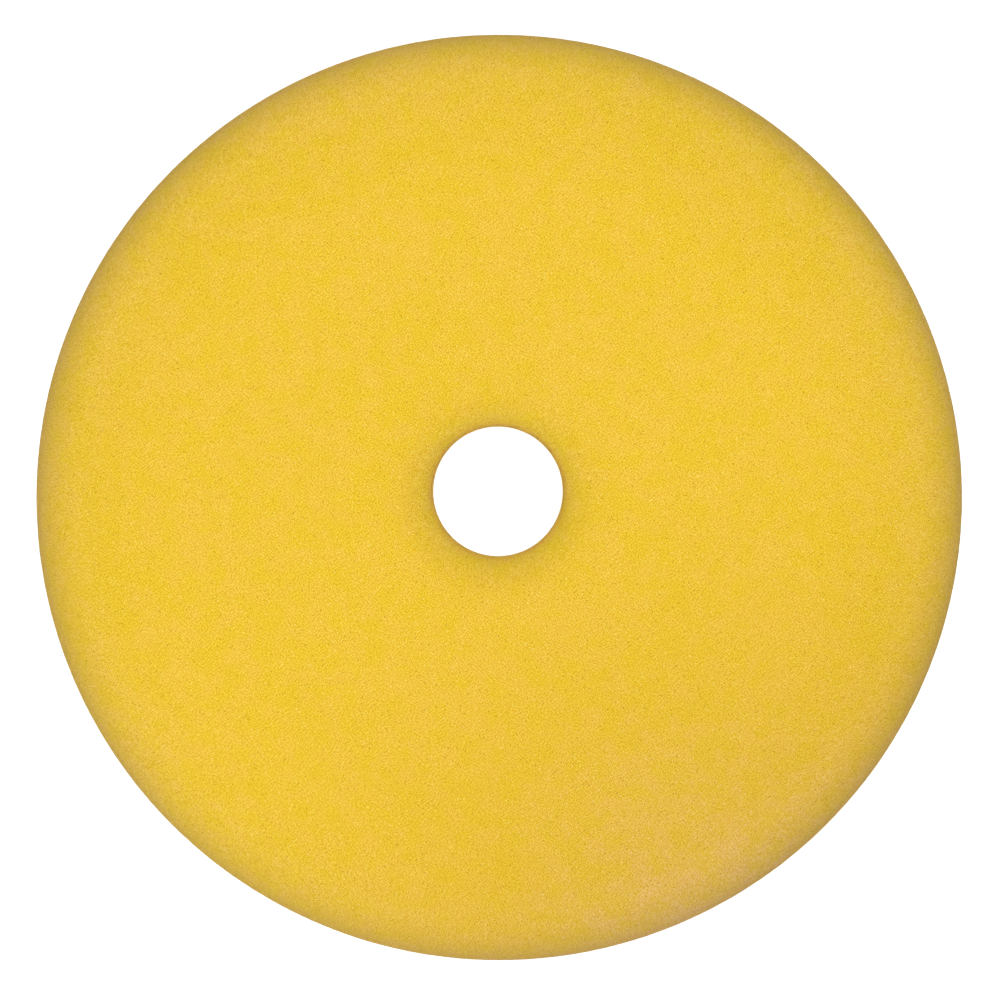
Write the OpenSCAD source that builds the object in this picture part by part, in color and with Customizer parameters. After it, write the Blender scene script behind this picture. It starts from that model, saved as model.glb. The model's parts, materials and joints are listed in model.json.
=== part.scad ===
// Foam polishing pad for a rotary polisher, held by hook and loop.
// It lies loop side down on Z = 0, with its working face up. Units are millimetres.

/* [Foam] */
// Diameter of the foam at its rim, where it is widest
pad_d = 180; // [120:1:220]
// Thickness of the foam, without its backing
foam_t = 30; // [24:0.5:45]
// Radius of the broad rounding where the flat face starts to fall away
shoulder_r = 65; // [30:1:80]
// Slope that the broad rounding falls to, in degrees
shoulder_turn = 20; // [6:1:24]
// Radius of the rounding from there to the rim
rim_r = 13; // [8:0.5:18]
// Radius of the rounding under the rim
skirt_r = 5; // [2:0.5:8]
// How far the foam's lower edge lies inside the rim
undercut = 13.5; // [10:0.5:20]

/* [Centre hole] */
// Diameter of the hole through all the layers
hole_d = 25.4; // [15:0.1:40]
// Radius of the rounding at the hole's mouth
lip_r = 8; // [1:0.5:10]
// How far from the centre the hole is punched, along X
hole_off_x = -0.25; // [-1.5:0.05:1.5]
// How far from the centre the hole is punched, along Y
hole_off_y = 1.2; // [-1.5:0.05:1.5]

/* [Backing] */
// Thickness of the adhesive film between the foam and the cloth
film_t = 0.3; // [0.2:0.05:0.8]
// Thickness of the knitted ground cloth
cloth_t = 0.4; // [0.3:0.05:1]
// Height of the loops that stand on the cloth
pile_t = 1.2; // [0.8:0.1:2.5]
// Step from the foam's lower edge in to the edge of the film and the cloth
backing_step = 0.5; // [0:0.1:2]
// Step from the cloth's edge in to the outermost loops
pile_step = 0.4; // [0:0.1:2]

/* [Hidden] */
$fn = 144;
// Length by which a cutter runs past the face that it cuts
past = 1;

pad_r = pad_d / 2;
hole_r = hole_d / 2;

// Heights of the layers, from the loops up
cloth_z = pile_t;
film_z = cloth_z + cloth_t;
foam_z = film_z + film_t;
face_z = foam_z + foam_t;

// Radii of the layers' edges, from the foam in
foam_edge_r = pad_r - undercut;
backing_r = foam_edge_r - backing_step;
pile_r = backing_r - pile_step;

// The face runs flat to face_r, falls along the shoulder, and turns upright at the rim
face_r = pad_r - shoulder_r * sin(shoulder_turn) - rim_r * (1 - sin(shoulder_turn));
rim_z = face_z - shoulder_r * (1 - cos(shoulder_turn)) - rim_r * cos(shoulder_turn);
shoulder_end_r = face_r + shoulder_r * sin(shoulder_turn);

// Under the rim the side turns in, and a straight taper runs from there to the lower edge
skirt = min(skirt_r, (rim_z - foam_z) / 2);
taper_run = undercut - skirt;
taper_rise = rim_z - foam_z;
taper_turn = atan2(taper_rise, taper_run) - asin(skirt / norm([taper_run, taper_rise]));
taper_top = [pad_r - skirt + skirt * sin(taper_turn), rim_z - skirt * cos(taper_turn)];

module above_rim(reach) {
    translate([0, rim_z]) square([reach, face_z - rim_z]);
}

module below_rim(reach) {
    translate([0, foam_z]) square([reach, rim_z - foam_z]);
}

// Half of the foam's section, from the axis out, before the hole is punched
module foam_section() {
    above_rim(face_r);
    intersection() {
        translate([face_r, face_z - shoulder_r]) circle(r = shoulder_r);
        above_rim(shoulder_end_r);
    }
    intersection() {
        translate([pad_r - rim_r, rim_z]) circle(r = rim_r);
        above_rim(pad_r);
    }
    intersection() {
        translate([pad_r - skirt, rim_z]) circle(r = skirt);
        below_rim(pad_r);
    }
    polygon([[0, foam_z], [foam_edge_r, foam_z], taper_top, [pad_r - skirt, rim_z], [0, rim_z]]);
}

// What is punched out of a layer that lies between two heights
module punch(bottom, top) {
    translate([hole_off_x, hole_off_y, bottom - past])
        cylinder(r = hole_r, h = top - bottom + 2 * past);
}

// What is ground off the foam to round the hole's mouth
module lip_cut() {
    translate([hole_off_x, hole_off_y, face_z - lip_r]) rotate_extrude() difference() {
        square([hole_r + lip_r, lip_r + past]);
        translate([hole_r + lip_r, 0]) circle(r = lip_r);
    }
}

// A flat round layer with the hole through it
module layer(radius, bottom, thickness) {
    difference() {
        translate([0, 0, bottom]) cylinder(r = radius, h = thickness);
        punch(bottom, bottom + thickness);
    }
}

// Open-cell polyurethane foam, moulded flat and ground round at its edges
module foam_body() {
    color([0.95, 0.78, 0.23]) difference() {
        rotate_extrude() foam_section();
        punch(foam_z, face_z);
        lip_cut();
    }
}

// Hot-melt film that bonds the cloth to the foam
module bond_film() {
    color([0.86, 0.82, 0.68]) layer(backing_r, film_z, film_t);
}

// Knitted ground cloth that the loops stand on
module loop_cloth() {
    color([0.88, 0.88, 0.86]) layer(backing_r, cloth_z, cloth_t);
}

// Nap of loops that the backing plate's hooks grip, as the space that it fills
module loop_pile() {
    color([0.93, 0.93, 0.91]) layer(pile_r, 0, pile_t);
}

foam_body();
bond_film();
loop_cloth();
loop_pile();
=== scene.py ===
"""Looks of a foam polishing pad: the foam disc, the film under it, and its loop backing.

Sizes are in metres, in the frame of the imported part, unless a name ends in _mm or _deg.
The pad lies loop side down on the floor, with its working face up.
"""

import json
import logging
import math
from dataclasses import dataclass, field
from enum import Enum

import bpy
import numpy as np
from mathutils import Euler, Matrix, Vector, noise
from mathutils.kdtree import KDTree

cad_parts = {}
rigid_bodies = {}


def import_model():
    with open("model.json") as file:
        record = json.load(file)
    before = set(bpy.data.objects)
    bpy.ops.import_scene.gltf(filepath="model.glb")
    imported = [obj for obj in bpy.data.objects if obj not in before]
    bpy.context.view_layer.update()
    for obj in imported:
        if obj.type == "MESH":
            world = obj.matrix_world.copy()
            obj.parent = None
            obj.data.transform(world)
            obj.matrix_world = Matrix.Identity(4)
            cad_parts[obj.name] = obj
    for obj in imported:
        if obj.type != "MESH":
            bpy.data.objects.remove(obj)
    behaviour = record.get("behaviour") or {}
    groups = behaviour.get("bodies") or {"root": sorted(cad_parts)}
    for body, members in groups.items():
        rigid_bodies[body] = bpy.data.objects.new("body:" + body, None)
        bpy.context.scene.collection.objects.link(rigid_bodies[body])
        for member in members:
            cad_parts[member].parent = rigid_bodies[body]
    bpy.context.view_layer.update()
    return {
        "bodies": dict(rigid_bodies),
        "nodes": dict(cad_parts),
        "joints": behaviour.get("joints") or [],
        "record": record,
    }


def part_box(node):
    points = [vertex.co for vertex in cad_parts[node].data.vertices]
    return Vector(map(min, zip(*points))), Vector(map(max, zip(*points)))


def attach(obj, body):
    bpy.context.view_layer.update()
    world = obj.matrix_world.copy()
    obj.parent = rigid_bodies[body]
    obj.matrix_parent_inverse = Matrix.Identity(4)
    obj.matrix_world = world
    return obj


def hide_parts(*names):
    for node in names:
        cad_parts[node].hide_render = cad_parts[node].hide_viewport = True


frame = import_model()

BODY = "root"
MM = 0.001

# A point less than this above a face counts as lying on it.
SNUG = 0.0002
SHARP_EDGE_DEG = 50.0

Colour = tuple[float, float, float]
Point = tuple[float, float]
Place = tuple[float, float, float]

# Turns the axes of every noise, in radians, so that none lies along the pad's own axes.
OFF_GRID: Place = (0.45, 0.70, 0.95)
LOG = logging.getLogger("pad")


class Blend(Enum):
    """How one colour goes over another."""

    MIX = "MIX"
    MULTIPLY = "MULTIPLY"


class Amount:
    """A number that varies over a surface: one socket, on which arithmetic adds Math nodes."""

    def __init__(self, shader: "Shader", socket: bpy.types.NodeSocket) -> None:
        """Wraps an output socket of one of the shader's nodes.

        Args:
            shader: The shader that the socket's node belongs to.
            socket: The output socket that carries the number.
        """
        self.shader = shader
        self.socket = socket

    def maths(self, operation: str, *operands: "Amount | float") -> "Amount":
        """Adds one Math node.

        Args:
            operation: Blender's name of the operation.
            operands: Its operands in order, as numbers or amounts.

        Returns:
            The node's result.
        """
        node = self.shader.add("Math", {"operation": operation}, dict(enumerate(operands)))
        return Amount(self.shader, node.outputs[0])

    def __add__(self, other: "Amount | float") -> "Amount":
        """This plus the other."""
        return self.maths("ADD", self, other)

    def __radd__(self, other: float) -> "Amount":
        """The other plus this."""
        return self.maths("ADD", other, self)

    def __sub__(self, other: "Amount | float") -> "Amount":
        """This less the other."""
        return self.maths("SUBTRACT", self, other)

    def __rsub__(self, other: float) -> "Amount":
        """The other less this."""
        return self.maths("SUBTRACT", other, self)

    def __mul__(self, other: "Amount | float") -> "Amount":
        """This times the other."""
        return self.maths("MULTIPLY", self, other)

    def __rmul__(self, other: float) -> "Amount":
        """The other times this."""
        return self.maths("MULTIPLY", other, self)

    def __pow__(self, power: float) -> "Amount":
        """This to a power."""
        return self.maths("POWER", self, power)

    def sine(self) -> "Amount":
        """The sine of this, in radians."""
        return self.maths("SINE", self)

    def rise(self, low: float, high: float) -> "Amount":
        """Goes smoothly from 0 to 1 as this goes from low to high.

        Args:
            low: Where the result leaves 0.
            high: Where the result reaches 1.

        Returns:
            The smooth step.
        """
        settings = {"interpolation_type": "SMOOTHSTEP"}
        sockets = {"Value": self, "From Min": low, "From Max": high}
        return Amount(self.shader, self.shader.add("MapRange", settings, sockets).outputs[0])


class Shader:
    """A material and its node tree, to which one method adds any node."""

    def __init__(self, name: str) -> None:
        """Makes an empty material.

        Args:
            name: The material's name.
        """
        self.material = bpy.data.materials.new(name)
        self.material.use_nodes = True
        self.material.node_tree.nodes.clear()
        self.place = self.add("TexCoord").outputs["Object"]

    def add(
        self,
        kind: str,
        settings: dict[str, object] | None = None,
        sockets: dict[str | int, object] | None = None,
    ) -> bpy.types.Node:
        """Adds a node, sets it, and then fills its sockets.

        Args:
            kind: The node's type, without Blender's ShaderNode in front.
            settings: The node's own settings.
            sockets: A number, colour, socket or amount for each input, by name or place.

        Returns:
            The node.
        """
        tree = self.material.node_tree
        node = tree.nodes.new("ShaderNode" + kind)
        for name, value in (settings or {}).items():
            setattr(node, name, value)
        for key, value in (sockets or {}).items():
            source = value.socket if isinstance(value, Amount) else value
            if isinstance(source, bpy.types.NodeSocket):
                tree.links.new(source, node.inputs[key])
            elif source is not None:
                node.inputs[key].default_value = source
        return node

    def in_units_of(
        self,
        size_mm: float,
        stretch: Place = (1.0, 1.0, 1.0),
        turn: Place = (0.0, 0.0, 0.0),
        shift: Place = (0.0, 0.0, 0.0),
    ) -> bpy.types.NodeSocket:
        """The place on the piece, counted in steps of a size.

        Args:
            size_mm: The length of one step.
            stretch: How much longer a step is along each axis.
            turn: How far the steps' own axes are turned after that, in radians.
            shift: How many steps the count starts off the origin, along the pad's axes.

        Returns:
            The place as a vector socket.
        """
        per_step = tuple(1.0 / (size_mm * MM * by) for by in stretch)
        start = Euler(turn).to_matrix() @ Vector(shift)
        sockets = {"Vector": self.place, "Location": start, "Rotation": turn, "Scale": per_step}
        return self.add("Mapping", {"vector_type": "POINT"}, sockets).outputs[0]

    def noise_at(self, place: bpy.types.NodeSocket, detail: float) -> Amount:
        """Soft noise, from 0 to 1, whose lumps are one unit of the place across."""
        sockets = {"Vector": place, "Scale": 1.0, "Detail": detail}
        return Amount(self, self.add("TexNoise", {}, sockets).outputs[0])

    def cloud(self, size_mm: float, detail: float = 2.0, stretch: Place = (1.0, 1.0, 1.0)) -> Amount:
        """Soft noise, from 0 to 1.

        Args:
            size_mm: The size of its lumps.
            detail: How many finer layers it has.
            stretch: How much longer the lumps are along each axis.

        Returns:
            The noise.
        """
        return self.noise_at(self.in_units_of(size_mm, stretch, OFF_GRID), detail)

    def grain(self, size_mm: float, reach: float = 0.75, layer_gap: float = 40.0) -> Amount:
        """Noise about 0 without its broad parts, in grains of one size.

        It is two noises, of which each is taken at two places and subtracted from itself.

        Args:
            size_mm: The size of the noise's lumps.
            reach: How far to each side of a place the two places are, in lumps.
            layer_gap: How far apart the two noises are taken, in lumps.

        Returns:
            The noise.
        """
        across = ((reach, 0.0, 0.0), (-reach, 0.0, 0.0))
        along = ((0.0, reach, layer_gap), (0.0, -reach, layer_gap))
        one, other, third, fourth = (
            self.noise_at(self.in_units_of(size_mm, turn=OFF_GRID, shift=shift), 0.0)
            for shift in (*across, *along)
        )
        return (one - other) + (third - fourth)

    def cells(self, size_mm: float) -> tuple[Amount, Amount]:
        """Foam-like cells.

        Args:
            size_mm: The distance between cells.

        Returns:
            How far each place is from its cell's middle, in cells, and a number from 0 to 1 that
            each cell has to itself.
        """
        sockets = {"Vector": self.in_units_of(size_mm, turn=OFF_GRID), "Scale": 1.0}
        node = self.add("TexVoronoi", {"feature": "F1"}, sockets)
        own = self.add("SeparateColor", {}, {"Color": node.outputs["Color"]})
        return Amount(self, node.outputs["Distance"]), Amount(self, own.outputs[0])

    def parts(self) -> tuple[Amount, Amount, Amount]:
        """The place's three numbers, in millimetres."""
        split = self.add("SeparateXYZ", {}, {0: self.in_units_of(1.0)})
        return tuple(Amount(self, socket) for socket in split.outputs)

    def from_axis(self, x_mm: float, y_mm: float) -> Amount:
        """How far each place is from an upright line, in millimetres.

        Args:
            x_mm: Where the line stands along X.
            y_mm: Where it stands along Y.

        Returns:
            The distance.
        """
        x, y, _ = self.parts()
        aside, ahead = x - x_mm, y - y_mm
        return (aside * aside + ahead * ahead) ** 0.5

    def colour(
        self,
        under: object,
        over: object,
        share: Amount | float,
        blend: Blend = Blend.MIX,
    ) -> bpy.types.NodeSocket:
        """Puts one colour over another.

        Args:
            under: The colour below, as three numbers or a socket.
            over: The colour above.
            share: How much of the colour above shows.
            blend: How it goes over.

        Returns:
            The colour that results.
        """
        full = [(*c, 1.0) if isinstance(c, tuple) else c for c in (under, over)]
        settings = {"data_type": "RGBA", "blend_type": blend.value, "clamp_factor": True}
        return self.add("Mix", settings, {0: share, 6: full[0], 7: full[1]}).outputs[2]

    def relief(self, height_mm: Amount, strength: float = 1.0) -> bpy.types.NodeSocket:
        """A normal that shows fine relief.

        Args:
            height_mm: How far the surface stands out.
            strength: How much of the relief shows.

        Returns:
            The normal.
        """
        sockets = {"Strength": strength, "Distance": MM, "Height": height_mm}
        return self.add("Bump", {}, sockets).outputs[0]

    def finish(self, sockets: dict[str, object]) -> bpy.types.Material:
        """Ends the tree in one surface shader.

        Args:
            sockets: What goes into the shader's sockets.

        Returns:
            The material.
        """
        surface = self.add("BsdfPrincipled", {}, sockets)
        self.add("OutputMaterial", {}, {"Surface": surface.outputs[0]})
        return self.material


@dataclass(frozen=True)
class PadSizes:
    """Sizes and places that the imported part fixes."""

    rim_radius: float
    face_height: float
    foam_base: float
    film_base: float
    cloth_base: float
    backing_radius: float
    pile_radius: float
    hole_x: float
    hole_y: float
    hole_radius: float
    lip_radius: float

    @classmethod
    def from_frame(cls, packed: dict) -> "PadSizes":
        """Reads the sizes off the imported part's boxes and its hole.

        Args:
            packed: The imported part, with its record.

        Returns:
            The sizes.
        """
        mounts = {mount["name"]: mount for mount in packed["record"]["mounts"]}
        hole = mounts["centre_hole"]
        foam_low, foam_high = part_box("foam_body")
        return cls(
            rim_radius=foam_high.x,
            face_height=foam_high.z,
            foam_base=foam_low.z,
            film_base=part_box("bond_film")[0].z,
            cloth_base=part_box("loop_cloth")[0].z,
            backing_radius=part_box("loop_cloth")[1].x,
            pile_radius=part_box("loop_pile")[1].x,
            hole_x=hole["pos_m"][0],
            hole_y=hole["pos_m"][1],
            hole_radius=hole["dims"]["r_mm"] * MM,
            lip_radius=foam_high.z - hole["dims"]["length_mm"] * MM,
        )


def line(start: Point, end: Point, step: float) -> list[Point]:
    """Points along a straight stretch of a section, without its last one.

    Args:
        start: Where it starts, as radius and height.
        end: Where it ends.
        step: About how far apart the points are.

    Returns:
        The points.
    """
    count = max(1, round(math.dist(start, end) / step))
    return [tuple(np.array(start) + (np.array(end) - start) * i / count) for i in range(count)]


def arc(middle: Point, radius: float, first_deg: float, last_deg: float, step: float) -> list[Point]:
    """Points along a round stretch of a section, without its last one.

    Args:
        middle: The arc's centre, as radius and height.
        radius: The arc's own radius.
        first_deg: Where it starts, anticlockwise from straight out.
        last_deg: Where it ends.
        step: About how far apart the points are.

    Returns:
        The points.
    """
    first, last = math.radians(first_deg), math.radians(last_deg)
    count = max(2, round(abs(last - first) * radius / step))
    turns = [first + (last - first) * i / count for i in range(count)]
    return [(middle[0] + radius * math.cos(t), middle[1] + radius * math.sin(t)) for t in turns]


def smooth(value: np.ndarray, low: float, high: float) -> np.ndarray:
    """Goes smoothly from 0 to 1 as the values go from low to high."""
    share = np.clip((value - low) / (high - low), 0.0, 1.0)
    return share * share * (3.0 - 2.0 * share)


@dataclass
class Turned:
    """A closed solid of revolution with a hole that lies off the axis."""

    name: str
    sizes: PadSizes
    section: list[Point]
    inner_sides: int = 192
    doubles_at: tuple[float, ...] = (0.022, 0.045)
    centred_from: float = 0.06
    points: np.ndarray = field(init=False)
    normals: np.ndarray = field(init=False)
    rings: np.ndarray = field(init=False)

    def __post_init__(self) -> None:
        """Places the points of every ring, and the way that the surface faces there."""
        section = np.array(self.section)
        ahead, behind = np.roll(section, -1, axis=0), np.roll(section, 1, axis=0)
        run = ahead - behind
        facing = np.stack([-run[:, 1], run[:, 0]], axis=1)
        facing /= np.linalg.norm(facing, axis=1, keepdims=True)
        places, ways, rings = [], [], []
        for number, ((radius, height), (out, up)) in enumerate(zip(section, facing)):
            turn = np.arange(self.sides(radius)) * (math.tau / self.sides(radius))
            across = np.stack([np.cos(turn), np.sin(turn)], axis=1)
            flat = across * radius + self.centre(radius)
            places.append(np.column_stack([flat, np.full(len(turn), height)]))
            ways.append(np.column_stack([across * out, np.full(len(turn), up)]))
            rings.append(np.full(len(turn), number))
        self.points, self.normals = np.concatenate(places), np.concatenate(ways)
        self.rings = np.concatenate(rings)

    def sides(self, radius: float) -> int:
        """How many points a ring of that radius has."""
        return self.inner_sides * 2 ** sum(radius > limit for limit in self.doubles_at)

    def centre(self, radius: float) -> np.ndarray:
        """Where a ring's centre lies: at the hole's centre by the hole, and on the axis further out."""
        near = self.sizes.hole_radius + self.sizes.lip_radius
        share = 1.0 - smooth(np.array(radius), near, self.centred_from)
        return np.array([self.sizes.hole_x, self.sizes.hole_y]) * share

    def faces(self) -> list[tuple[int, ...]]:
        """The faces between each ring and the next, and between the last and the first."""
        counts = [self.sides(radius) for radius, _ in self.section]
        starts = np.concatenate([[0], np.cumsum(counts)])
        made: list[tuple[int, ...]] = []
        for here, count in enumerate(counts):
            there = (here + 1) % len(counts)
            made += join_rings(int(starts[here]), count, int(starts[there]), counts[there])
        return made

    def build(self, offsets: np.ndarray | None = None) -> bpy.types.Object:
        """Makes the mesh.

        Args:
            offsets: How far each point stands out from the plain turned shape.

        Returns:
            The new object.
        """
        shaped = self.points if offsets is None else self.points + self.normals * offsets[:, None]
        return solid(self.name, shaped, self.faces())


def join_rings(first: int, count: int, second: int, second_count: int) -> list[tuple[int, ...]]:
    """Joins two rings of points, of which one may have twice as many as the other.

    Args:
        first: The first ring's first point.
        count: How many points the first ring has.
        second: The second ring's first point.
        second_count: How many points the second ring has.

    Returns:
        Four-sided faces, or five-sided ones where the count doubles or halves.
    """
    made: list[tuple[int, ...]] = []
    for i in range(min(count, second_count)):
        if count == second_count:
            a, b = first + i, first + (i + 1) % count
            c, d = second + (i + 1) % count, second + i
            made.append((a, d, c, b))
        elif count < second_count:
            a, b = first + i, first + (i + 1) % count
            far = [second + (2 * i + k) % second_count for k in range(3)]
            made.append((a, far[0], far[1], far[2], b))
        else:
            near = [first + (2 * i + k) % count for k in range(3)]
            c, d = second + (i + 1) % second_count, second + i
            made.append((near[0], d, c, near[2], near[1]))
    return made


def solid(name: str, points: np.ndarray, faces: list[tuple[int, ...]]) -> bpy.types.Object:
    """Makes a smooth-shaded mesh object whose sharp edges stay sharp.

    Args:
        name: The object's name.
        points: Its points.
        faces: Its faces, as the numbers of their points.

    Returns:
        The object, linked to the scene.
    """
    mesh = bpy.data.meshes.new(name)
    mesh.from_pydata(points.tolist(), [], faces)
    mesh.polygons.foreach_set("use_smooth", np.ones(len(mesh.polygons), bool))
    mesh.set_sharp_from_angle(angle=math.radians(SHARP_EDGE_DEG))
    mesh.update()
    made = bpy.data.objects.new(name, mesh)
    bpy.context.scene.collection.objects.link(made)
    return made


def settle(piece: bpy.types.Object, node: str, finish: bpy.types.Material) -> bpy.types.Object:
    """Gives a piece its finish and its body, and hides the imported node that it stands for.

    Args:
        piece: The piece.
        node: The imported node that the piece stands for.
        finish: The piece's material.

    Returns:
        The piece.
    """
    piece.data.materials.append(finish)
    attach(piece, BODY)
    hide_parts(node)
    triangles = sum(len(face.vertices) - 2 for face in piece.data.polygons)
    LOG.info("%s: %d points, %d triangles", piece.name, len(piece.data.vertices), triangles)
    return piece


def lumps(points: np.ndarray, size_mm: float) -> np.ndarray:
    """Soft noise at each point, from about -1 to 1.

    Args:
        points: The points.
        size_mm: The size of the lumps.

    Returns:
        One number for each point.
    """
    scaled = points / (size_mm * MM)
    return np.array([noise.noise(Vector(place)) for place in scaled])


@dataclass(frozen=True)
class FoamFinish:
    """Open-cell polyurethane foam, dyed yellow, whose colour also holds painted light and shade: sheen
    towards the rim and on the lower right, light at the hole's mouth, and shade round the hole, on the
    lower right and in the cells' hollows.
    """

    strut: Colour = (0.985, 0.687, 0.066)
    # The pore colour is painted shade in each cell's hollow.
    pore: Colour = (0.795, 0.448, 0.001)
    warm: Colour = (1.016, 0.991, 1.31)
    cool: Colour = (0.990, 1.011, 0.70)
    # open_cell: painted shade in larger open cells.
    open_cell: Colour = (0.60, 0.33, 0.012)
    # bright_cell: painted highlights on single cells.
    bright_cell: Colour = (1.0, 0.79, 0.17)
    # Painted sheen: the outer 16 mm of the rim made paler and bluer.
    rim_painted_sheen: Colour = (1.0, 1.01, 1.48)
    # Painted shade: the last 2 mm of the rim a little darker and less blue.
    rim_painted_shade: Colour = (1.0, 0.955, 0.84)
    # Painted light: the foam within 5 mm of the hole made lighter and paler.
    mouth_painted_light: Colour = (1.08, 1.20, 1.50)
    # Painted light: the foam within 2 mm of the hole made lighter still.
    lip_painted_light: Colour = (1.09, 1.075, 1.04)
    # Painted shade: the foam up to 14 mm round the hole made a little darker.
    mouth_painted_shade: Colour = (0.96, 0.965, 1.0)
    # Painted shade: the lower-right side of the pad made darker, fading towards the middle.
    side_painted_shade: Colour = (0.85, 0.813, 0.85)
    # Painted sheen: the lower-right rim made paler and much bluer.
    side_painted_sheen: Colour = (1.0, 0.995, 2.12)
    side_shade_place_mm: Point = (77.0, -140.0)
    side_shade_reach_mm: Point = (45.0, 165.0)
    side_sheen_place_mm: Point = (42.0, -79.0)
    side_sheen_reach_mm: Point = (0.0, 51.0)
    wall_share: float = 0.20
    tone_share: float = 0.05
    speck_share: float = 1.58
    patch_share: float = 0.22
    rim_span_mm: Point = (2.0, 16.0)
    rim_shade_span_mm: Point = (0.3, 2.0)
    lip_light_span_mm: Point = (0.2, 1.8)
    mouth_span_mm: Point = (0.3, 5.0)
    shade_span_mm: Point = (3.0, 14.0)
    cell_mm: float = 0.38
    speck_mm: float = 0.19
    spot_mm: float = 0.62
    patch_mm: float = 3.8
    cloud_mm: float = 26.0
    broad_share: float = 0.25
    wall_span: Point = (0.08, 0.62)
    hue_span: Point = (0.36, 0.64)
    spot_span: Point = (0.12, 0.34)
    open_kinds: Point = (0.80, 0.84)
    bright_kinds: Point = (0.16, 0.20)
    open_share: float = 0.85
    bright_share: float = 0.80
    wall_relief_mm: float = 0.10
    speck_relief_mm: float = 0.06
    relief_strength: float = 0.55
    roughness: float = 0.92
    wall_polish: float = 0.08

    def tints(self, shader: Shader, sizes: PadSizes) -> list[tuple[Colour, Amount]]:
        """The foam's colour changes from place to place, as painted sheen, light and shade.

        Args:
            shader: The foam's shader.
            sizes: The pad's sizes, which say where its rim and its hole are.

        Returns:
            Each tint, with how much of it each place gets.
        """
        from_rim = sizes.rim_radius / MM - shader.from_axis(0.0, 0.0)
        from_hole = shader.from_axis(sizes.hole_x / MM, sizes.hole_y / MM) - sizes.hole_radius / MM
        from_side_shade = shader.from_axis(*self.side_shade_place_mm)
        from_side_sheen = shader.from_axis(*self.side_sheen_place_mm)
        return [
            # Painted sheen towards the rim.
            (self.rim_painted_sheen, 1.0 - from_rim.rise(*self.rim_span_mm)),
            # Painted shade at the very edge of the rim.
            (self.rim_painted_shade, 1.0 - from_rim.rise(*self.rim_shade_span_mm)),
            # Painted light at the hole's edge and mouth.
            (self.lip_painted_light, 1.0 - from_hole.rise(*self.lip_light_span_mm)),
            (self.mouth_painted_light, 1.0 - from_hole.rise(*self.mouth_span_mm)),
            # Painted shade round the hole.
            (self.mouth_painted_shade, 1.0 - from_hole.rise(*self.shade_span_mm)),
            # Painted shade on the lower-right side.
            (self.side_painted_shade, 1.0 - from_side_shade.rise(*self.side_shade_reach_mm)),
            # Painted sheen on the lower-right rim.
            (self.side_painted_sheen, 1.0 - from_side_sheen.rise(*self.side_sheen_reach_mm)),
        ]

    def material(self, sizes: PadSizes) -> bpy.types.Material:
        """Builds the foam's material.

        Args:
            sizes: The pad's sizes.

        Returns:
            The material.
        """
        shader = Shader("yellow_foam")
        from_middle, own_tone = shader.cells(self.cell_mm)
        specks = shader.grain(self.speck_mm)
        # Cell walls take the strut colour and cell hollows the darker pore colour, which is painted
        # shade; specks and patches are the foam's own grain.
        wall = from_middle.rise(*self.wall_span)
        light = (wall - 0.5) * self.wall_share + (own_tone - 0.5) * self.tone_share
        fine, broad = shader.cloud(self.patch_mm, 3.0), shader.cloud(self.cloud_mm, 1.0)
        patches = fine * (1.0 - self.broad_share) + broad * self.broad_share
        light = light + specks * self.speck_share + (patches - 0.5) * self.patch_share + 0.5
        hue = shader.colour(self.cool, self.warm, patches.rise(*self.hue_span))
        dyed = shader.colour(shader.colour(self.pore, self.strut, light), hue, 1.0, Blend.MULTIPLY)
        from_spot, spot_kind = shader.cells(self.spot_mm)
        spot = 1.0 - from_spot.rise(*self.spot_span)
        is_open, is_bright = spot_kind.rise(*self.open_kinds), 1.0 - spot_kind.rise(*self.bright_kinds)
        # Sparse dark spots are painted shade in open cells, and sparse light spots are painted
        # highlights.
        dyed = shader.colour(dyed, self.open_cell, spot * is_open * self.open_share)
        dyed = shader.colour(dyed, self.bright_cell, spot * is_bright * self.bright_share)
        # Multiplies in the painted sheen, light and shade of tints().
        for tint, share in self.tints(shader, sizes):
            dyed = shader.colour(dyed, tint, share, Blend.MULTIPLY)
        relief_mm = wall * self.wall_relief_mm + specks * self.speck_relief_mm
        return shader.finish(
            {
                "Base Color": dyed,
                "Roughness": self.roughness - wall * self.wall_polish,
                "Specular IOR Level": 0.25,
                "Sheen Weight": 0.10,
                "Sheen Roughness": 0.45,
                "Sheen Tint": (1.0, 0.96, 0.86, 1.0),
                "Normal": shader.relief(relief_mm, self.relief_strength),
            }
        )


@dataclass(frozen=True)
class FilmFinish:
    """Hot-melt film, cream and slightly glossy where it was squeezed out."""

    melt: Colour = (0.74, 0.66, 0.42)
    thick: Colour = (0.60, 0.47, 0.20)
    streak_mm: float = 2.4
    ripple_mm: float = 0.7
    thick_span: Point = (0.35, 0.75)
    ripple_relief_mm: float = 0.06
    relief_strength: float = 0.8
    roughness: float = 0.32
    streak_roughness: float = 0.25

    def material(self) -> bpy.types.Material:
        """Builds the film's material."""
        shader = Shader("bond_film")
        streaks = shader.cloud(self.streak_mm, 3.0)
        melt = shader.colour(self.melt, self.thick, streaks.rise(*self.thick_span))
        relief_mm = shader.cloud(self.ripple_mm) * self.ripple_relief_mm
        return shader.finish(
            {
                "Base Color": melt,
                "Roughness": self.roughness + streaks * self.streak_roughness,
                "Normal": shader.relief(relief_mm, self.relief_strength),
            }
        )


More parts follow.
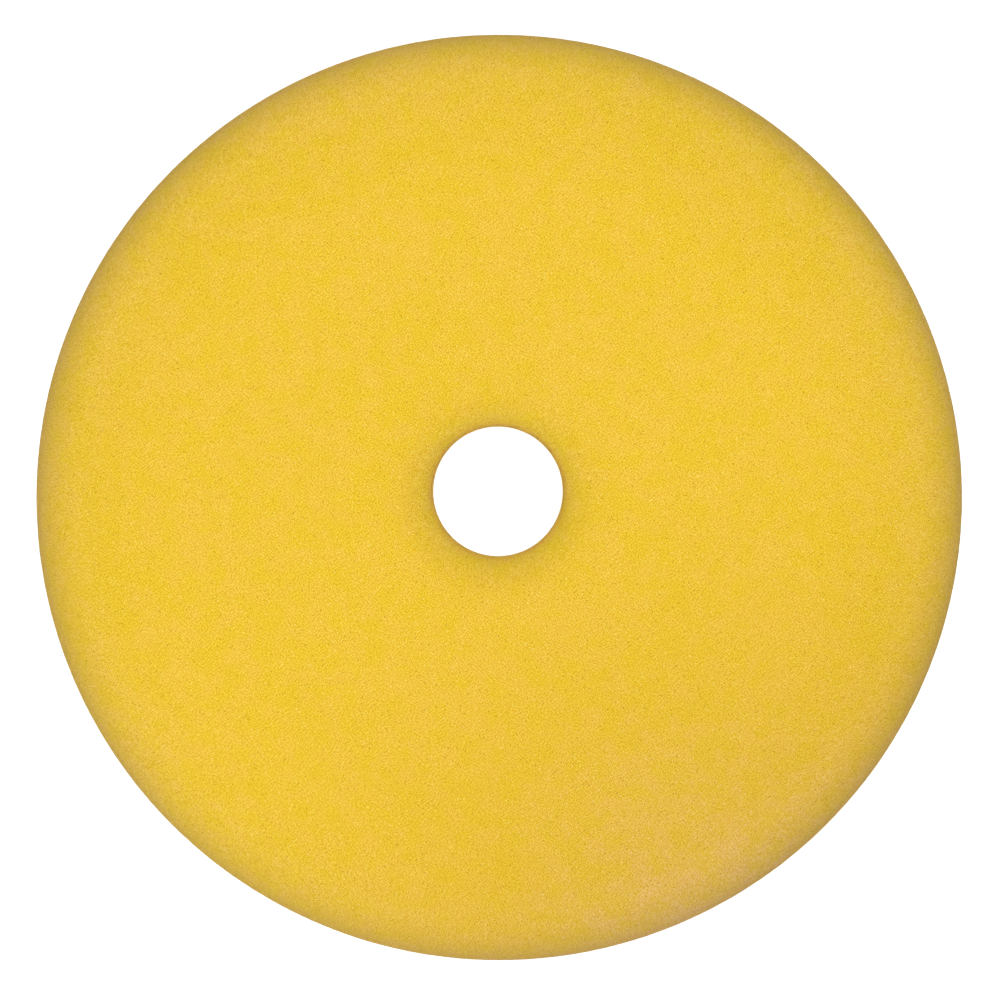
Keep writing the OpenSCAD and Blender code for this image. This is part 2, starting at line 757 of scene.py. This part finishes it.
@dataclass(frozen=True)
class KnitFinish:
    """Warp-knitted polyamide ground cloth: wales along Y and courses along X."""

    yarn: Colour = (0.78, 0.78, 0.75)
    gap: Colour = (0.44, 0.43, 0.40)
    wale_mm: float = 1.1
    course_mm: float = 0.8
    fibre_mm: float = 0.12
    fibre_length: float = 5.0
    stitch_lean: float = 1.2
    wale_share: float = 0.6
    yarn_share: float = 0.8
    fibre_share: float = 0.35
    yarn_relief_mm: float = 0.12
    fibre_relief_mm: float = 0.03
    relief_strength: float = 0.9

    def material(self) -> bpy.types.Material:
        """Builds the cloth's material."""
        shader = Shader("loop_cloth")
        x, y, _ = shader.parts()
        wale = (x * (math.tau / self.wale_mm)).sine() * 0.5 + 0.5
        lean = (x * (math.pi / self.wale_mm)).sine() * self.stitch_lean
        course = (y * (math.tau / self.course_mm) + lean).sine() * 0.5 + 0.5
        fibre = shader.cloud(self.fibre_mm, 2.0, (1.0, self.fibre_length, 1.0))
        yarn = wale * self.wale_share + course * (1.0 - self.wale_share)
        light = yarn * self.yarn_share + fibre * self.fibre_share
        relief_mm = yarn * self.yarn_relief_mm + fibre * self.fibre_relief_mm
        return shader.finish(
            {
                "Base Color": shader.colour(self.gap, self.yarn, light),
                "Roughness": 0.85,
                "Sheen Weight": 0.25,
                "Sheen Roughness": 0.4,
                "Normal": shader.relief(relief_mm, self.relief_strength),
            }
        )


@dataclass(frozen=True)
class LoopFinish:
    """Polyamide loops, off-white, with painted shade that makes them a little darker near the cloth."""

    tip: Colour = (0.88, 0.88, 0.85)
    root: Colour = (0.60, 0.59, 0.55)
    dusty: Colour = (0.74, 0.71, 0.62)
    dust_mm: float = 4.0
    dust_share: float = 0.35
    dust_span: Point = (0.4, 0.8)
    tip_depth_mm: float = 0.2

    def material(self, sizes: PadSizes) -> bpy.types.Material:
        """Builds the loops' material.

        Args:
            sizes: The pad's sizes, which say how deep the loops stand.

        Returns:
            The material.
        """
        shader = Shader("loop_pile")
        _, _, z = shader.parts()
        # Painted shade: the loops darker from their tips towards the cloth.
        depth = z.rise(self.tip_depth_mm, sizes.cloth_base / MM)
        body = shader.colour(self.tip, self.root, depth)
        dust = shader.cloud(self.dust_mm).rise(*self.dust_span)
        return shader.finish(
            {
                "Base Color": shader.colour(body, self.dusty, dust * self.dust_share),
                "Roughness": 0.7,
                "Sheen Weight": 0.3,
                "Sheen Roughness": 0.35,
            }
        )


@dataclass
class FoamDisc:
    """The foam: flat face, broad shoulder, round rim, taper underneath, and a soft-mouthed hole."""

    sizes: PadSizes
    finish: FoamFinish = FoamFinish()
    shoulder_radius: float = 0.065
    shoulder_turn_deg: float = 20.0
    round_radius: float = 0.013
    skirt_radius: float = 0.005
    edge_step: float = 0.0005
    point_step: float = 0.00078
    hidden_step: float = 0.006
    wall_bow: float = 0.00035
    fine_lumps_mm: tuple[Point, ...] = ((1.7, 0.016), (0.9, 0.026))
    broad_lumps_mm: Point = (17.0, 0.07)
    least_calm: float = 0.2
    pit_count: int = 1400
    pit_radii: Point = (0.0004, 0.0009)
    pit_depths: Point = (0.00003, 0.00010)
    seed: int = 11

    def section(self) -> list[Point]:
        """The foam's outline, from the foot of the hole's wall up, over the face, and back under."""
        s, step = self.sizes, self.point_step
        turn = math.radians(self.shoulder_turn_deg)
        shoulder, rounding = self.shoulder_radius, self.round_radius
        face_end = s.rim_radius - shoulder * math.sin(turn) - rounding * (1.0 - math.sin(turn))
        rim_height = s.face_height - shoulder * (1.0 - math.cos(turn)) - rounding * math.cos(turn)
        foot = s.backing_radius + self.edge_step
        run, rise = s.rim_radius - foot - self.skirt_radius, rim_height - s.foam_base
        taper = math.atan2(rise, run) - math.asin(self.skirt_radius / math.hypot(run, rise))
        skirt_middle = (s.rim_radius - self.skirt_radius, rim_height)
        skirt_end_deg = math.degrees(taper) - 90.0
        taper_top = (
            skirt_middle[0] + self.skirt_radius * math.sin(taper),
            skirt_middle[1] - self.skirt_radius * math.cos(taper),
        )
        lip_end = (s.hole_radius + s.lip_radius, s.face_height)
        lip_middle = (lip_end[0], s.face_height - s.lip_radius)
        slope_deg = 90.0 - self.shoulder_turn_deg
        return [
            *line((s.hole_radius, s.foam_base), (s.hole_radius, lip_middle[1]), step),
            *arc(lip_middle, s.lip_radius, 180.0, 90.0, step),
            *line(lip_end, (face_end, s.face_height), step),
            *arc((face_end, s.face_height - shoulder), shoulder, 90.0, slope_deg, step),
            *arc((s.rim_radius - rounding, rim_height), rounding, slope_deg, 0.0, step),
            *arc(skirt_middle, self.skirt_radius, 0.0, skirt_end_deg, step),
            *line(taper_top, (foot, s.foam_base), step),
            *line((foot, s.foam_base), (s.hole_radius, s.foam_base), self.hidden_step),
        ]

    def relief(self, disc: Turned) -> np.ndarray:
        """How far each point stands out: faint lumps, torn cells, and the bow that a punch leaves.

        Args:
            disc: The plain turned shape.

        Returns:
            One height for each point.
        """
        s, height = self.sizes, disc.points[:, 2]
        upright = np.abs(disc.normals[:, 2])
        calm = self.least_calm + (1.0 - self.least_calm) * upright**2
        fine = [lumps(disc.points, size) * (high * MM) for size, high in self.fine_lumps_mm]
        broad_mm, broad_high_mm = self.broad_lumps_mm
        waves = lumps(disc.points, broad_mm) * (broad_high_mm * MM) * calm
        glued = height < s.foam_base + SNUG
        share = (height - s.foam_base) / (s.face_height - s.lip_radius - s.foam_base)
        in_hole = np.hypot(disc.points[:, 0], disc.points[:, 1]) < s.hole_radius + s.lip_radius / 4
        bent = np.sin(np.clip(share, 0.0, 1.0) * math.pi) * self.wall_bow
        bow = np.where(in_hole & (share < 1.0), bent, 0.0)
        return np.where(glued, 0.0, sum(fine) + waves - self.pits(disc) - bow)

    def pits(self, disc: Turned) -> np.ndarray:
        """How deep each point lies in a larger open cell.

        Args:
            disc: The plain turned shape.

        Returns:
            One depth for each point.
        """
        draw = np.random.default_rng(self.seed)
        tree = KDTree(len(disc.points))
        for number, place in enumerate(disc.points):
            tree.insert(place, number)
        tree.balance()
        depth = np.zeros(len(disc.points))
        for number in draw.integers(0, len(disc.points), self.pit_count):
            radius, deep = draw.uniform(*self.pit_radii), draw.uniform(*self.pit_depths)
            for _, near, gap in tree.find_range(disc.points[number], radius):
                depth[near] = max(depth[near], deep * (1.0 - (gap / radius) ** 2))
        return depth

    def build(self) -> bpy.types.Object:
        """Makes the foam, and returns it."""
        disc = Turned("foam_disc", self.sizes, self.section())
        piece = settle(disc.build(self.relief(disc)), "foam_body", self.finish.material(self.sizes))
        return piece


@dataclass
class BondFilm:
    """The film between foam and cloth, with a thin uneven bead where it was squeezed out."""

    sizes: PadSizes
    finish: FilmFinish = FilmFinish()
    bead: float = 0.00022
    least_bead: float = 0.6
    bead_lumps_mm: Point = (1.3, 5.0)
    step: float = 0.0035
    edge_step: float = 0.0001

    def build(self) -> bpy.types.Object:
        """Makes the film, and returns it."""
        s = self.sizes
        low, high = s.film_base, s.foam_base
        middle = (s.backing_radius, (low + high) / 2)
        section = [
            *line((s.hole_radius, low), (s.hole_radius, high), high - low),
            *line((s.hole_radius, high), (s.backing_radius, high), self.step),
            *arc(middle, (high - low) / 2, 90.0, -90.0, self.edge_step),
            *line((s.backing_radius, low), (s.hole_radius, low), self.step),
        ]
        film = Turned("bond_film_melt", s, section)
        out = np.hypot(film.points[:, 0], film.points[:, 1]) > s.backing_radius + SNUG / 10
        fine, broad = (lumps(film.points, size_mm) for size_mm in self.bead_lumps_mm)
        swell = (fine * 0.5 + broad * 0.5 + self.least_bead) * self.bead
        piece = settle(film.build(np.where(out, swell, 0.0)), "bond_film", self.finish.material())
        return piece


@dataclass
class LoopCloth:
    """The knitted ground cloth, cut to the backing's outline with a slightly uneven edge."""

    sizes: PadSizes
    finish: KnitFinish = KnitFinish()
    step: float = 0.0009
    edge: float = 0.00012
    ripple: float = 0.00004
    cut_error: float = 0.00012
    cut_lumps_mm: float = 0.8

    def build(self) -> bpy.types.Object:
        """Makes the cloth, and returns it."""
        s = self.sizes
        low, high, edge = s.cloth_base, s.film_base, self.edge
        section = [
            *line((s.hole_radius, low), (s.hole_radius, high), high - low),
            *line((s.hole_radius, high), (s.backing_radius - edge, high), self.step * 4),
            *arc((s.backing_radius - edge, high - edge), edge, 90.0, 0.0, edge),
            *arc((s.backing_radius - edge, low + edge), edge, 0.0, -90.0, edge),
            *line((s.backing_radius - edge, low), (s.hole_radius, low), self.step),
        ]
        cloth = Turned("loop_ground_cloth", s, section)
        radius = np.hypot(cloth.points[:, 0], cloth.points[:, 1])
        out = radius > s.backing_radius - edge * 0.5
        under = (cloth.normals[:, 2] < -0.9) & (radius > s.hole_radius + s.lip_radius / 4)
        knit = np.sin(cloth.points[:, 0] * (math.tau / (self.finish.wale_mm * 2 * MM))) * self.ripple
        cut = lumps(cloth.points, self.cut_lumps_mm) * self.cut_error
        shaped = cloth.build(np.where(out, cut, np.where(under, knit, 0.0)))
        piece = settle(shaped, "loop_cloth", self.finish.material())
        return piece


@dataclass
class LoopPile:
    """The nap of small loops under the cloth, in two sets on alternate wales of the knit."""

    sizes: PadSizes
    finish: LoopFinish = LoopFinish()
    wale_gap: float = 0.0013
    course_gap: float = 0.00256
    yarn_radius: float = 0.00012
    shortest_span: float = 0.00045
    longest_span: float = 0.00080
    turn_spread: float = 0.6
    lean_spread: float = 0.00022
    shortfall: float = 0.00035
    bulge: float = 0.35
    bluntness: float = 0.75
    root_depth: float = 0.00005
    scatter: float = 0.3
    elbow_room: float = 1.1
    rings: int = 7
    sides: int = 3
    seed: int = 5

    def roots(self, wale_set: int, draw: np.random.Generator) -> np.ndarray:
        """Where the loops of one set stand.

        Args:
            wale_set: 0 or 1.
            draw: The source of small shifts.

        Returns:
            A place in the pad's plane for each loop.
        """
        reach = self.sizes.pile_radius
        across = np.arange(-reach, reach, 2 * self.wale_gap) + wale_set * self.wale_gap
        along = np.arange(-reach, reach, self.course_gap / 2)
        grid = np.stack(np.meshgrid(across, along), axis=-1).reshape(-1, 2)
        shift = draw.uniform(-self.scatter, self.scatter, grid.shape)
        grid += shift * (self.wale_gap, self.course_gap / 2)
        room = self.longest_span * self.elbow_room + self.yarn_radius
        inside = np.hypot(*grid.T) < reach - room
        hole = grid - (self.sizes.hole_x, self.sizes.hole_y)
        return grid[inside & (np.hypot(*hole.T) > self.sizes.hole_radius + room)]

    def build_set(self, name: str, wale_set: int, finish: bpy.types.Material) -> bpy.types.Object:
        """Makes the loops of one set.

        Args:
            name: The piece's name.
            wale_set: 0 or 1.
            finish: The loops' material.

        Returns:
            The piece.
        """
        draw = np.random.default_rng(self.seed + wale_set)
        roots = self.roots(wale_set, draw)
        count, top = len(roots), self.sizes.cloth_base
        turn = draw.normal(0.0, self.turn_spread, count)[:, None]
        span = draw.uniform(self.shortest_span, self.longest_span, count)[:, None]
        depth = (top - self.yarn_radius - draw.uniform(0.0, self.shortfall, count))[:, None]
        lean = draw.normal(0.0, self.lean_spread, count)[:, None]
        way = np.linspace(0.0, math.pi, self.rings)[None, :]
        along = -span * np.cos(way) * (1.0 + self.bulge * np.sin(way))
        aside = lean * np.sin(way)
        drop = np.clip(np.sin(way), 0.0, 1.0) ** self.bluntness
        down = top + self.root_depth - (depth + self.root_depth) * drop
        line_x = roots[:, :1] + along * np.cos(turn) - aside * np.sin(turn)
        line_y = roots[:, 1:] + along * np.sin(turn) + aside * np.cos(turn)
        centres = np.stack([line_x, line_y, down], axis=-1)
        aside_way = np.concatenate([-np.sin(turn), np.cos(turn), np.zeros_like(turn)], axis=1)
        piece = settle(self.tubes(name, centres, aside_way), "loop_pile", finish)
        return piece

    def tubes(self, name: str, centres: np.ndarray, aside_way: np.ndarray) -> bpy.types.Object:
        """Sweeps the yarn's section along every loop.

        Args:
            name: The piece's name.
            centres: The points of each loop's centre line.
            aside_way: The way across each loop's plane.

        Returns:
            The piece, with a map of its own that lies flat in the pad's plane.
        """
        count, rings, _ = centres.shape
        tangent = np.gradient(centres, axis=1)
        across = np.cross(tangent, aside_way[:, None, :])
        across /= np.linalg.norm(across, axis=2, keepdims=True)
        turns = np.arange(self.sides) * (math.tau / self.sides) + math.pi / 6
        outward = across[:, :, None, :] * np.cos(turns)[:, None]
        sideways = aside_way[:, None, None, :] * np.sin(turns)[:, None]
        points = (centres[:, :, None, :] + (outward + sideways) * self.yarn_radius).reshape(-1, 3)
        faces = self.tube_faces(count, rings)
        made = solid(name, points, faces)
        flat = made.data.uv_layers.new(name="OFBake")
        corners = np.zeros(len(made.data.loops), np.int32)
        made.data.loops.foreach_get("vertex_index", corners)
        reach = self.sizes.pile_radius
        places = points[corners, :2] / (2 * reach) + 0.5
        flat.data.foreach_set("uv", places.astype(np.float32).ravel())
        return made

    def tube_faces(self, count: int, rings: int) -> list[tuple[int, ...]]:
        """The faces of a number of equal tubes with closed ends.

        Args:
            count: How many tubes.
            rings: How many rings of points each one has.

        Returns:
            The faces, as the numbers of their points.
        """
        one: list[tuple[int, ...]] = [tuple(range(self.sides))]
        for ring in range(rings - 1):
            low = ring * self.sides
            for i in range(self.sides):
                j = (i + 1) % self.sides
                one.append((low + i, low + self.sides + i, low + self.sides + j, low + j))
        last = (rings - 1) * self.sides
        one.append(tuple(last + i for i in reversed(range(self.sides))))
        per_tube = rings * self.sides
        starts = range(0, count * per_tube, per_tube)
        return [tuple(start + i for i in face) for start in starts for face in one]

    def build(self) -> list[bpy.types.Object]:
        """Makes both sets of loops, and returns them."""
        finish = self.finish.material(self.sizes)
        names = ("loop_pile_odd_wales", "loop_pile_even_wales")
        return [self.build_set(name, number, finish) for number, name in enumerate(names)]


@dataclass
class Studio:
    """A white sweep, one broad soft lamp above the pad, and the camera."""

    sizes: PadSizes
    floor_hub: float = 0.2
    floor_radius: float = 2.3
    floor_step: float = 0.3
    floor_sides: int = 128
    fillet: float = 0.35
    fillet_step: float = 0.05
    wall_height: float = 1.0
    seen_albedo: float = 0.88
    seen_glow: float = 0.68
    below_albedo: float = 0.75
    paper_gap: float = 0.0004
    sky: float = 0.2
    lamp_place: Place = (0.0, 0.0, 1.2)
    lamp_size: float = 0.55
    lamp_power: float = 11.35
    fill_place: Place = (-0.40, -1.25, 0.26)
    fill_size: float = 0.6
    fill_power: float = 1.8
    camera_distance: float = 1.5
    view_width: float = 0.19453
    sensor_mm: float = 36.0
    aim: Point = (0.000155, -0.000495)
    widest_height: float = 0.01576

    def build_sweep(self) -> None:
        """Makes the floor, which curves up into a low wall all round.

        It is made twice: once as the bright paper that is seen, and once, just under it, as the
        duller paper that lights the pad from below.
        """
        sides = self.floor_sides
        foot = (self.floor_radius, self.fillet)
        section = [
            *line((self.floor_hub, 0.0), (self.floor_radius, 0.0), self.floor_step),
            *arc(foot, self.fillet, -90.0, 0.0, self.fillet_step),
            (self.floor_radius + self.fillet, self.wall_height),
        ]
        turn = np.arange(sides) * (math.tau / sides)
        across, ahead = np.cos(turn), np.sin(turn)
        rings = [np.column_stack([r * across, r * ahead, np.full(sides, z)]) for r, z in section]
        faces: list[tuple[int, ...]] = [tuple(range(sides))]
        for ring in range(len(section) - 1):
            faces += join_rings(ring * sides, sides, (ring + 1) * sides, sides)
        points = np.concatenate(rings)
        lower = points - (0.0, 0.0, self.paper_gap)
        papers = (
            ("paper_seen", points, self.seen_albedo, self.seen_glow),
            ("paper_below", lower, self.below_albedo, 0.0),
        )
        for name, places, albedo, glow in papers:
            seen = glow > 0.0
            sweep = solid(name, places, faces)
            sweep.data.materials.append(self.paper(name, albedo, glow))
            sweep.visible_camera = seen
            sweep.visible_diffuse = not seen
            sweep.visible_glossy = not seen
            sweep.visible_shadow = False

    def paper(self, name: str, albedo: float, glow: float) -> bpy.types.Material:
        """White paper, which may be lit from behind.

        Args:
            name: The material's name.
            albedo: How much of the light it returns.
            glow: How much light comes through it from behind.

        Returns:
            The material.
        """
        shader = Shader(name)
        return shader.finish(
            {
                "Base Color": (albedo, albedo, albedo, 1.0),
                "Roughness": 0.9,
                "Specular IOR Level": 0.1,
                "Emission Color": (1.0, 1.0, 1.0, 1.0),
                "Emission Strength": glow,
            }
        )

    def build_light(self) -> None:
        """Makes the even light all round, the soft lamp overhead, and a weak low lamp in front."""
        world = bpy.data.worlds.new("studio")
        world.use_nodes = True
        bpy.context.scene.world = world
        back = world.node_tree.nodes["Background"]
        back.inputs["Color"].default_value = (1.0, 1.0, 1.0, 1.0)
        back.inputs["Strength"].default_value = self.sky
        self.build_lamp("soft_lamp", self.lamp_place, self.lamp_size, self.lamp_power)
        self.build_lamp("low_fill", self.fill_place, self.fill_size, self.fill_power)

    def build_lamp(self, name: str, place: Place, size: float, power: float) -> None:
        """Makes a round soft lamp that faces the pad and isn't seen itself.

        Args:
            name: The lamp's name.
            place: Where it hangs.
            size: Its diameter.
            power: Its power in watts.
        """
        lamp = bpy.data.lights.new(name, "AREA")
        lamp.shape = "DISK"
        lamp.size = size
        lamp.energy = power
        held = bpy.data.objects.new(name, lamp)
        held.location = place
        held.rotation_euler = (-Vector(place)).to_track_quat("-Z", "Y").to_euler()
        held.visible_camera = False
        bpy.context.scene.collection.objects.link(held)

    def build_camera(self) -> bpy.types.Object:
        """Makes the camera, which looks straight down on the working face, and returns it."""
        lens = bpy.data.cameras.new("camera")
        lens.sensor_width = self.sensor_mm
        lens.lens = self.sensor_mm * self.camera_distance / self.view_width
        lens.clip_start = 0.01
        camera = bpy.data.objects.new("camera", lens)
        camera.location = (*self.aim, self.widest_height + self.camera_distance)
        bpy.context.scene.collection.objects.link(camera)
        bpy.context.scene.camera = camera
        bpy.context.scene.view_settings.view_transform = "Standard"
        return camera


def main() -> None:
    """Builds the studio and the pad, piece by piece."""
    logging.basicConfig(level=logging.INFO, format="%(message)s")
    sizes = PadSizes.from_frame(frame)
    studio = Studio(sizes)
    studio.build_camera()
    studio.build_light()
    studio.build_sweep()
    FoamDisc(sizes).build()
    BondFilm(sizes).build()
    cloth = LoopCloth(sizes).build()
    loops = LoopPile(sizes).build()


if __name__ == "__main__":
    main()
